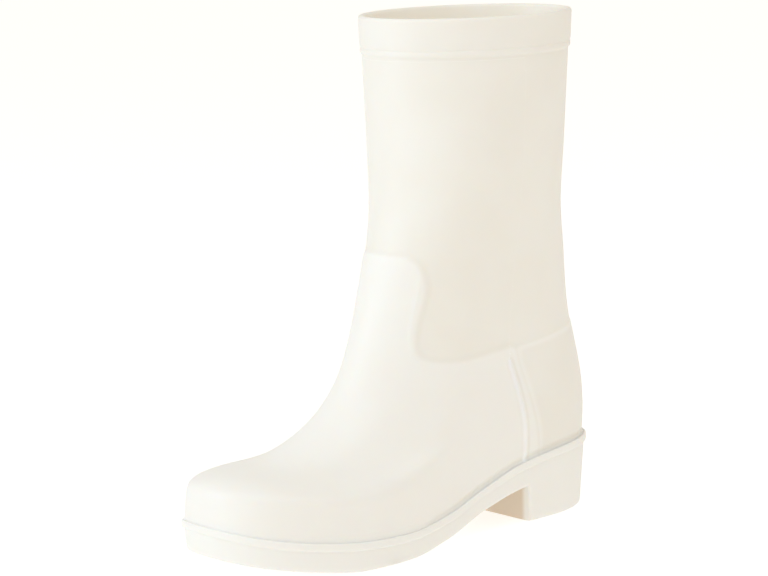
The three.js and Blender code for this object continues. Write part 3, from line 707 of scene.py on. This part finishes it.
def add_node(tree, kind, sources=None, **settings):
    """A node with its settings. Each source is a number, a colour or another node's output, by socket name."""
    node = tree.nodes.new("ShaderNode" + kind)
    for key, value in settings.items():
        setattr(node, key, value)
    for socket, source in (sources or {}).items():
        if isinstance(source, bpy.types.NodeSocket):
            tree.links.new(source, node.inputs[socket])
        else:
            node.inputs[socket].default_value = source
    return node


def remap(tree, value, low, high, to_low, to_high):
    """A value from one range put on another, smoothly and kept inside it."""
    limits = {"From Min": low, "From Max": high, "To Min": to_low, "To Max": to_high}
    return add_node(tree, "MapRange", {"Value": value, **limits}, interpolation_type="SMOOTHSTEP").outputs["Result"]


def combine(tree, operation, a, b):
    """Two values combined by a Math node."""
    return add_node(tree, "Math", {0: a, 1: b}, operation=operation).outputs[0]


def sine(tree, value):
    """The sine of a value in radians."""
    return add_node(tree, "Math", {0: value}, operation="SINE").outputs[0]


def skin_group():
    """Skin of moulded rubber: cloudiness of the colour, height of a fine grain, and uneven sheen."""
    outputs = (("Cloud", "NodeSocketFloat"), ("Grain", "NodeSocketFloat"), ("Dullness", "NodeSocketFloat"))
    tree, given, out = new_group("moulded_skin", (("Coordinates", "NodeSocketVector"),), outputs)
    place = given.outputs["Coordinates"]
    cloud = add_node(tree, "TexNoise", {"Vector": place, "Scale": 22.0, "Detail": 3.0, "Roughness": 0.5})
    fine = add_node(tree, "TexNoise", {"Vector": place, "Scale": 1500.0, "Detail": 2.0, "Roughness": 0.6})
    wave = add_node(tree, "TexNoise", {"Vector": place, "Scale": 120.0, "Detail": 2.0, "Roughness": 0.5})
    patch = add_node(tree, "TexNoise", {"Vector": place, "Scale": 55.0, "Detail": 4.0, "Roughness": 0.6})
    grain = combine(tree, "MULTIPLY", fine.outputs["Fac"], 0.025)
    grain = combine(tree, "ADD", grain, combine(tree, "MULTIPLY", wave.outputs["Fac"], 0.12))
    tree.links.new(remap(tree, cloud.outputs["Fac"], 0.3, 0.7, 0.0, 1.0), out.inputs["Cloud"])
    tree.links.new(grain, out.inputs["Grain"])
    tree.links.new(remap(tree, patch.outputs["Fac"], 0.3, 0.7, 0.0, 1.0), out.inputs["Dullness"])
    return tree


def step_group():
    """Height of a step from 0 to 1 over a width, from a signed distance to its edge, both in millimetres."""
    inputs = (("Distance", "NodeSocketFloat"), ("Width", "NodeSocketFloat"))
    tree, given, out = new_group("soft_step", inputs, (("Height", "NodeSocketFloat"),))
    share = combine(tree, "DIVIDE", given.outputs["Distance"], given.outputs["Width"])
    tree.links.new(remap(tree, share, -0.5, 0.5, 0.0, 1.0), out.inputs["Height"])
    return tree


LOOP_TURNS, COURSE_TURNS, LOOP_SLANT = 3600.0, 4200.0, 1.2  # radians a metre, for loops of about 1.7 by 1.5 mm


def knit_group():
    """Plain knit: columns of loops, each a short slanted bump, from waves across the height and round the boot."""
    outputs = (("Loops", "NodeSocketFloat"), ("Shade", "NodeSocketFloat"))
    tree, given, out = new_group("knit_cloth", (("Coordinates", "NodeSocketVector"),), outputs)
    parts = add_node(tree, "SeparateXYZ", {"Vector": given.outputs["Coordinates"]})
    along = combine(tree, "ADD", parts.outputs["X"], parts.outputs["Y"])
    rib = sine(tree, combine(tree, "MULTIPLY", along, LOOP_TURNS))
    course = combine(tree, "MULTIPLY", parts.outputs["Z"], COURSE_TURNS)
    course = sine(tree, combine(tree, "ADD", course, combine(tree, "MULTIPLY", rib, LOOP_SLANT)))
    loops = combine(tree, "ADD", combine(tree, "MULTIPLY", rib, 0.5), combine(tree, "MULTIPLY", course, 0.5))
    fuzz = add_node(tree, "TexNoise", {"Vector": given.outputs["Coordinates"], "Scale": 900.0, "Detail": 3.0})
    tree.links.new(combine(tree, "ADD", loops, fuzz.outputs["Fac"]), out.inputs["Loops"])
    tree.links.new(remap(tree, loops, -0.8, 0.8, 0.0, 1.0), out.inputs["Shade"])
    return tree


SKIN, STEP, KNIT = skin_group(), step_group(), knit_group()
print("shared effects:", [tree.name for tree in (SKIN, STEP, KNIT)])


# %% [markdown]
# The rubber itself scatters light just under its skin, which softens its shadows and makes them warm. The edges of
# vamp, counter and rib come from the distances stored on the mesh: across an edge the bump climbs over two to three
# millimetres. The same distances say where light and shade are painted into the colour: painted light on the proud
# edges and over the vamp, a painted highlight on the rib, and painted shade at the foot of a step, behind the rib
# and over the ledge. The arch's underside has painted shade as well.


# %% The rubber of the upper and of the sole
def use_group(tree, group, sources):
    """A shared effect placed in a material."""
    return add_node(tree, "Group", sources, node_tree=group)


def mix_colour(tree, share, first, second):
    """Two colours mixed by a share."""
    return add_node(tree, "Mix", {0: share, 6: first, 7: second}, data_type="RGBA").outputs[2]


def shader_of(name):
    """A new material with its node tree and its shader."""
    material = bpy.data.materials.new(name)
    material.use_nodes = True
    return material, material.node_tree, material.node_tree.nodes["Principled BSDF"]


def rubber(name, light, dark, dull, relief_steps=(), painted_tones=()):
    """Moulded rubber. relief_steps are (attribute, width, height in mm) of crisp edges to add to the grain. wear is
    (attribute, distances where it starts, peaks and ends, share, colour) of painted light and painted shade."""
    material, tree, shader = shader_of(name)
    place = add_node(tree, "TexCoord").outputs["Object"]
    skin = use_group(tree, SKIN, {"Coordinates": place})
    height = skin.outputs["Grain"]
    for attribute, width, tall in relief_steps:
        distance = add_node(tree, "Attribute", attribute_name=attribute).outputs["Fac"]
        step = use_group(tree, STEP, {"Distance": distance, "Width": width}).outputs["Height"]
        height = combine(tree, "ADD", height, combine(tree, "MULTIPLY", step, tall))
    bump_node = add_node(tree, "Bump", {"Height": height, "Strength": 0.8, "Distance": 0.001})
    colour = mix_colour(tree, skin.outputs["Cloud"], light, dark)
    # Painted light and painted shade: each entry mixes a lighter or darker colour in along a stored distance.
    for attribute, (low, peak, high), share, tint in painted_tones:
        distance = add_node(tree, "Attribute", attribute_name=attribute).outputs["Fac"]
        rise = remap(tree, distance, low, peak, 0.0, share)
        fall = remap(tree, distance, peak, high, 1.0, 0.0)
        colour = mix_colour(tree, combine(tree, "MULTIPLY", rise, fall), colour, tint)
    tree.links.new(colour, shader.inputs["Base Color"])
    tree.links.new(remap(tree, skin.outputs["Dullness"], 0, 1, dull, dull + 0.12), shader.inputs["Roughness"])
    tree.links.new(bump_node.outputs["Normal"], shader.inputs["Normal"])
    shader.inputs["Specular IOR Level"].default_value = 0.4
    shader.inputs["Subsurface Weight"].default_value = 0.4
    shader.inputs["Subsurface Radius"].default_value = (1.0, 0.8, 0.6)
    shader.inputs["Subsurface Scale"].default_value = 0.002
    return material


IVORY, IVORY_CLOUD = (0.90, 0.882, 0.828, 1.0), (0.885, 0.862, 0.80, 1.0)
SOLE_IVORY, SOLE_CLOUD = (0.94, 0.925, 0.88, 1.0), (0.928, 0.912, 0.866, 1.0)
# Painted light and a painted highlight: lighter colours for the vamp, the proud edges and the rib's lit side.
PAINTED_LIGHT, PAINTED_HIGHLIGHT = (0.97, 0.965, 0.94, 1.0), (1.0, 0.995, 0.98, 1.0)
# Painted shade: darker colours at the foot of the vamp's edge, over the ledge, behind the rib and under the arch.
PAINTED_SHADE, ARCH_PAINTED_SHADE = (0.76, 0.71, 0.62, 1.0), (0.79, 0.69, 0.57, 1.0)
EDGES = (
    ("vamp_edge", 2.0, 0.12), ("counter_edge", 1.8, 0.1), ("rib_line", -2.6, 0.5), ("binding_line", -2.2, 0.12),
)
UPPER_PAINTED_TONES = (
    # Painted shade at the foot of the vamp's edge, and painted light over the vamp.
    ("vamp_edge", (-3.6, -1.2, 0.8), 0.05, PAINTED_SHADE), ("vamp_edge", (-0.5, 2.5, 60.0), 0.5, PAINTED_LIGHT),
    # Painted light on the counter's edge, and painted shade over the ledge.
    ("counter_edge", (-0.6, 1.4, 4.5), 0.4, PAINTED_LIGHT), ("over_ledge", (-1.0, 1.5, 4.8), 0.25, PAINTED_SHADE),
    # Painted shade behind the rib, and a painted highlight on the rib's lit side.
    ("rib_side", (1.0, 2.4, 4.5), 0.24, PAINTED_SHADE), ("rib_side", (-2.8, -0.8, 1.8), 1.0, PAINTED_HIGHLIGHT),
)
# Painted shade under the arch, where little light gets in.
SOLE_PAINTED_SHADE = (("arch_shade_share", (0.0, 1.0, 2.0), 1.0, ARCH_PAINTED_SHADE),)
upper.data.materials.append(rubber("upper_rubber", IVORY, IVORY_CLOUD, 0.42, EDGES, UPPER_PAINTED_TONES))
outsole.data.materials.append(rubber("sole_rubber", SOLE_IVORY, SOLE_CLOUD, 0.48, painted_tones=SOLE_PAINTED_SHADE))
print("the upper's rubber has", len(EDGES), "raised lines and", len(UPPER_PAINTED_TONES), "lines of wear")

# %% [markdown]
# The lining and the insole's cover are the same plain knit, with loops a little under two millimetres wide. The
# white wall behind the lining is thin enough to let some light through, and the lining has painted light for it: it
# gives off a little warm light of its own.


# %% The knit of the lining and the insole
def knit(name, light, dark, painted_glow):
    """Matt knitted cloth with some fuzz. glow is painted light that the cloth gives off, for light through the wall.
    """
    material, tree, shader = shader_of(name)
    place = add_node(tree, "TexCoord").outputs["Object"]
    cloth = use_group(tree, KNIT, {"Coordinates": place})
    bump_node = add_node(tree, "Bump", {"Height": cloth.outputs["Loops"], "Strength": 0.6, "Distance": 0.0003})
    tree.links.new(mix_colour(tree, cloth.outputs["Shade"], dark, light), shader.inputs["Base Color"])
    tree.links.new(bump_node.outputs["Normal"], shader.inputs["Normal"])
    shader.inputs["Roughness"].default_value = 0.9
    shader.inputs["Sheen Weight"].default_value = 0.2
    # Painted light: the cloth gives off a faint warm light of its own.
    shader.inputs["Emission Color"].default_value = (1.0, 0.94, 0.84, 1.0)
    shader.inputs["Emission Strength"].default_value = painted_glow
    return material


lining.data.materials.append(knit("lining_knit", (0.93, 0.91, 0.86, 1.0), (0.86, 0.83, 0.77, 1.0), painted_glow=0.18))
insole.data.materials.append(knit("insole_knit", (0.72, 0.66, 0.55, 1.0), (0.6, 0.54, 0.44, 1.0), painted_glow=0.0))
print("materials:", [material.name for material in bpy.data.materials])

# %% [markdown]
# ## Floor, light and camera
# Product pictures of white things are taken in a white room, with one large soft light to the side, another
# overhead, and a lot of light from all around, also back up from the floor. The shape then shows only by its faint
# warm shadows, so the light has to stay gentle. To the camera the floor is a shade brighter than the light that it
# gives, so that it looks white without washing out the sole.

# %% The floor and the light
FLOOR_REACH = 12.0
floor_mesh = bpy.data.meshes.new("floor")
floor_corners = FLOOR_REACH * np.array([(-1, -1, 0), (1, -1, 0), (1, 1, 0), (-1, 1, 0)])
floor_mesh.from_pydata(floor_corners.tolist(), [], [(0, 1, 2, 3)])
floor = bpy.data.objects.new("floor", floor_mesh)
bpy.context.scene.collection.objects.link(floor)
floor_material, tree, shader = shader_of("floor_white")
shader.inputs["Base Color"].default_value = (0.44, 0.44, 0.445, 1.0)
shader.inputs["Roughness"].default_value = 0.9
shader.inputs["Emission Color"].default_value = (1.0, 0.98, 0.945, 1.0)
seen = add_node(tree, "LightPath").outputs["Is Camera Ray"]
tree.links.new(remap(tree, seen, 0.0, 1.0, 0.61, 0.72), shader.inputs["Emission Strength"])
floor_mesh.materials.append(floor_material)

world = bpy.data.worlds.new("studio")
bpy.context.scene.world = world
world.use_nodes = True
sky = world.node_tree
around = sky.nodes["Background"]
around.inputs["Color"].default_value = (1.0, 0.92, 0.8, 1.0)
around.inputs["Strength"].default_value = 0.7
backdrop = add_node(sky, "Background", {"Color": (1.0, 1.0, 1.0, 1.0), "Strength": 1.0})
either = add_node(sky, "MixShader", {0: add_node(sky, "LightPath").outputs["Is Camera Ray"]})
sky.links.new(around.outputs[0], either.inputs[1])
sky.links.new(backdrop.outputs[0], either.inputs[2])
sky.links.new(either.outputs[0], sky.nodes["World Output"].inputs["Surface"])


def area_light(name, place, target, size, watts, colour):
    """A square soft light at a place in metres, turned to a target."""
    lamp = bpy.data.lights.new(name, "AREA")
    lamp.size, lamp.energy, lamp.color = size, watts, colour
    light = bpy.data.objects.new(name, lamp)
    light.location = place
    light.rotation_euler = (Vector(target) - Vector(place)).to_track_quat("-Z", "Y").to_euler()
    bpy.context.scene.collection.objects.link(light)


area_light("key", (2.15, -0.95, 0.95), (0, 0, 0.15), size=1.4, watts=14.8, colour=(0.77, 0.98, 1.2))
area_light("overhead", (0.5, 0.9, 2.4), (0, 0, 0.1), size=1.8, watts=14.5, colour=(0.84, 0.98, 1.16))
bpy.context.scene.view_settings.view_transform = "Standard"
print("lights:", [lamp.name for lamp in bpy.data.lights])

# %% [markdown]
# The camera stands where the photograph was taken from: about one and a half metres away, at knee height, with a
# long lens, and rolled by less than two degrees.

# %% The camera
AZIMUTH, DISTANCE, HEIGHT, ROLL = 48.892, 1.545573, 0.409333, -1.653
AIM_RIGHT, AIM_UP, FOCAL_IN_WIDTHS = -0.007476, 0.146656, 2719.243 / 768

camera_data = bpy.data.cameras.new("camera")
camera_data.sensor_width = 36.0
camera_data.lens = FOCAL_IN_WIDTHS * camera_data.sensor_width
camera = bpy.data.objects.new("camera", camera_data)
bpy.context.scene.collection.objects.link(camera)
azimuth, roll = np.radians(AZIMUTH), np.radians(ROLL)
eye = Vector((DISTANCE * np.cos(azimuth), DISTANCE * np.sin(azimuth), HEIGHT))
target = Vector((-np.sin(azimuth) * AIM_RIGHT, np.cos(azimuth) * AIM_RIGHT, AIM_UP))
ahead = (target - eye).normalized()
right = ahead.cross(Vector((0, 0, 1))).normalized()
above = right.cross(ahead)
turned_right, turned_up = right * np.cos(roll) + above * np.sin(roll), above * np.cos(roll) - right * np.sin(roll)
camera.matrix_world = Matrix.Translation(eye) @ Matrix((turned_right, turned_up, -ahead)).transposed().to_4x4()
bpy.context.scene.camera = camera
print("camera at", [round(value, 3) for value in eye], "lens", round(camera_data.lens, 1), "mm")
